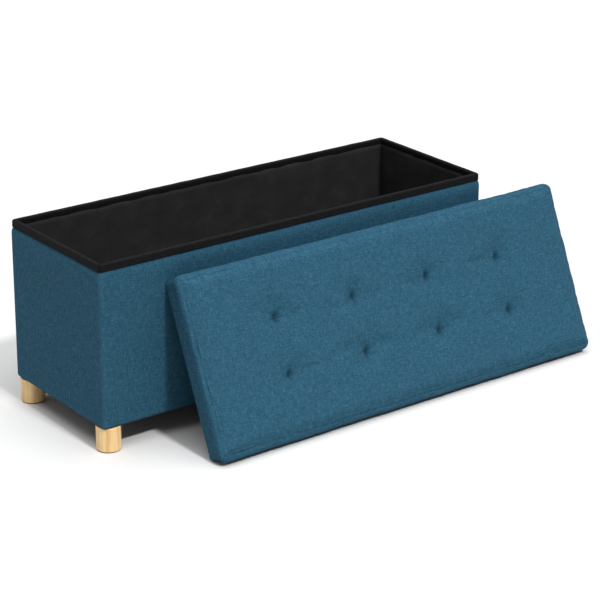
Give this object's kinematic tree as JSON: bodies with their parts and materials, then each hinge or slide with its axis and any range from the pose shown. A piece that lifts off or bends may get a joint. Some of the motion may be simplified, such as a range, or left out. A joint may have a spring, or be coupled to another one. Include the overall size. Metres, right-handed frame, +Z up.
{
  "type": "storage bench",
  "caption": "Long upholstered storage box on short round wooden legs, with a tufted padded cap lid lifted off and leaning on its front.",
  "frame": {"origin": "on the floor, at the middle of the footprint of the whole row: the box with its lid leaning on its front", "axes": "+X along the bench's length, to the right seen from the front; +Y from the lid towards the rear of the box; +Z up"},
  "size_m": [1.2684, 0.597, 0.442],
  "materials": {
    "linen": "matte",
    "nonwoven": "matte",
    "binding": "matte",
    "board": "matte",
    "leg_wood": "satin",
    "black_steel": "satin",
    "zinc_steel": "satin",
    "felt": "matte",
    "foam": "matte",
    "thread": "matte",
    "washer_plastic": "matte"
  },
  "bodies": {
    "box": {"base_board": "board", "bottom_cloth": "nonwoven", "panel_staples": "zinc_steel", "plate_screws": "zinc_steel", "hanger_bolts": "zinc_steel", "floor_lining": "nonwoven", "front_wall_board": "board", "front_cover": "linen", "front_lining": "nonwoven", "front_rim_binding": "binding", "rear_wall_board": "board", "rear_cover": "linen", "rear_lining": "nonwoven", "rear_rim_binding": "binding", "left_wall_board": "board", "left_cover": "linen", "left_lining": "nonwoven", "left_rim_binding": "binding", "right_wall_board": "board", "right_cover": "linen", "right_lining": "nonwoven", "right_rim_binding": "binding", "front_left_leg": "leg_wood", "front_left_leg_pad": "felt", "front_left_leg_plate": "black_steel", "front_right_leg": "leg_wood", "front_right_leg_pad": "felt", "front_right_leg_plate": "black_steel", "rear_left_leg": "leg_wood", "rear_left_leg_pad": "felt", "rear_left_leg_plate": "black_steel", "rear_right_leg": "leg_wood", "rear_right_leg_pad": "felt", "rear_right_leg_plate": "black_steel"},
    "lid": {"lid_board": "board", "lid_underside_lining": "nonwoven", "lid_foam": "foam", "lid_top_cover": "linen", "lid_staples": "zinc_steel", "tuft_threads": "thread", "tuft_washers": "washer_plastic", "lid_front_skirt_board": "board", "lid_front_skirt_lining": "nonwoven", "lid_front_boxing": "linen", "lid_rear_skirt_board": "board", "lid_rear_skirt_lining": "nonwoven", "lid_rear_boxing": "linen", "lid_left_skirt_board": "board", "lid_left_skirt_lining": "nonwoven", "lid_left_boxing": "linen", "lid_right_skirt_board": "board", "lid_right_skirt_lining": "nonwoven", "lid_right_boxing": "linen"}
  },
  "joints": [
    {"name": "lid_lift", "type": "slide", "parent": "box", "child": "lid", "axis": [0, 0, 1], "range_m": [0, 0.5]}
  ]
}
